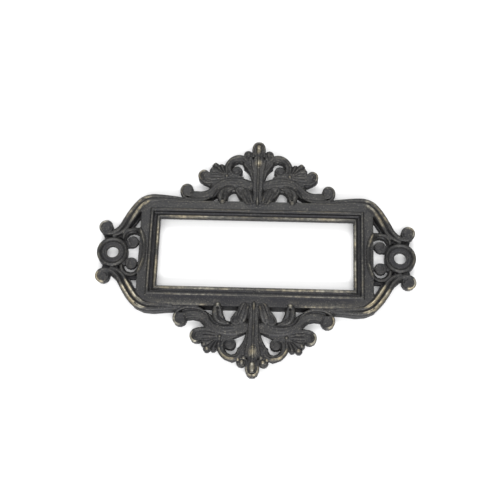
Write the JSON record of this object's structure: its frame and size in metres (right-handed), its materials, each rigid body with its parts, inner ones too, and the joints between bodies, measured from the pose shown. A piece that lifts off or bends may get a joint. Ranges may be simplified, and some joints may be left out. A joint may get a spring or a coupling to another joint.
{
  "type": "label frame",
  "caption": "Ornate cast label frame: a moulded frame round a card window, with pierced acanthus crests above and below it and a screw ring at each end.",
  "frame": {"origin": "middle of the card window, on the flat back that lies against the drawer front", "axes": "+X along the 55 mm length to the right-hand screw ring, +Y across the 43 mm height to the upper crest, +Z out of the ornamented face"},
  "size_m": [0.055, 0.043, 0.0026],
  "materials": {
    "antique_bronze": "dark antique bronze patina on a cast zinc alloy, rubbed back to gold-brown on the ridges"
  },
  "bodies": {
    "root": {"label_frame": "antique_bronze"}
  },
  "joints": []
}
